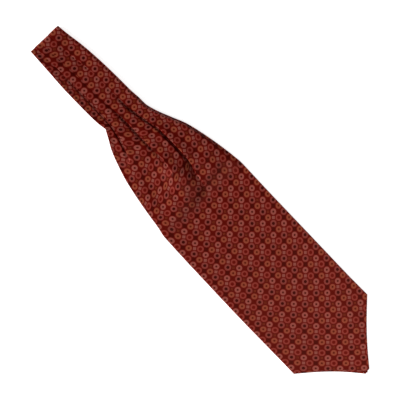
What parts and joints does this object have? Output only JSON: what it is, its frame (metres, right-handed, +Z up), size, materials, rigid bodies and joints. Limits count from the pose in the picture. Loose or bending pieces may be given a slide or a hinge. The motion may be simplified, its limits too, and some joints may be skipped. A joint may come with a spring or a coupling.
{
  "type": "silk day cravat",
  "caption": "Long printed silk cravat folded in half and laid flat, its pleated neckband opening into a wide blade with a right-angled point.",
  "frame": {"origin": "on the surface that the cravat lies on, under the middle of its bounding box", "axes": "+X along the cravat from the fold of its neckband to the points of its blades, +Y across it to the edge where the pleats begin, +Z up from the surface it lies on"},
  "size_m": [0.6056, 0.1413, 0.0155],
  "materials": {
    "printed_silk": "printed silk twill, dark red with a small geometric repeat, soft sheen"
  },
  "bodies": {
    "root": {"front_blade_face": "printed_silk", "front_blade_backing": "printed_silk", "back_blade": "printed_silk", "neckband_upper_run": "printed_silk", "neckband_lower_run": "printed_silk", "neckband_turn": "printed_silk"}
  },
  "joints": []
}
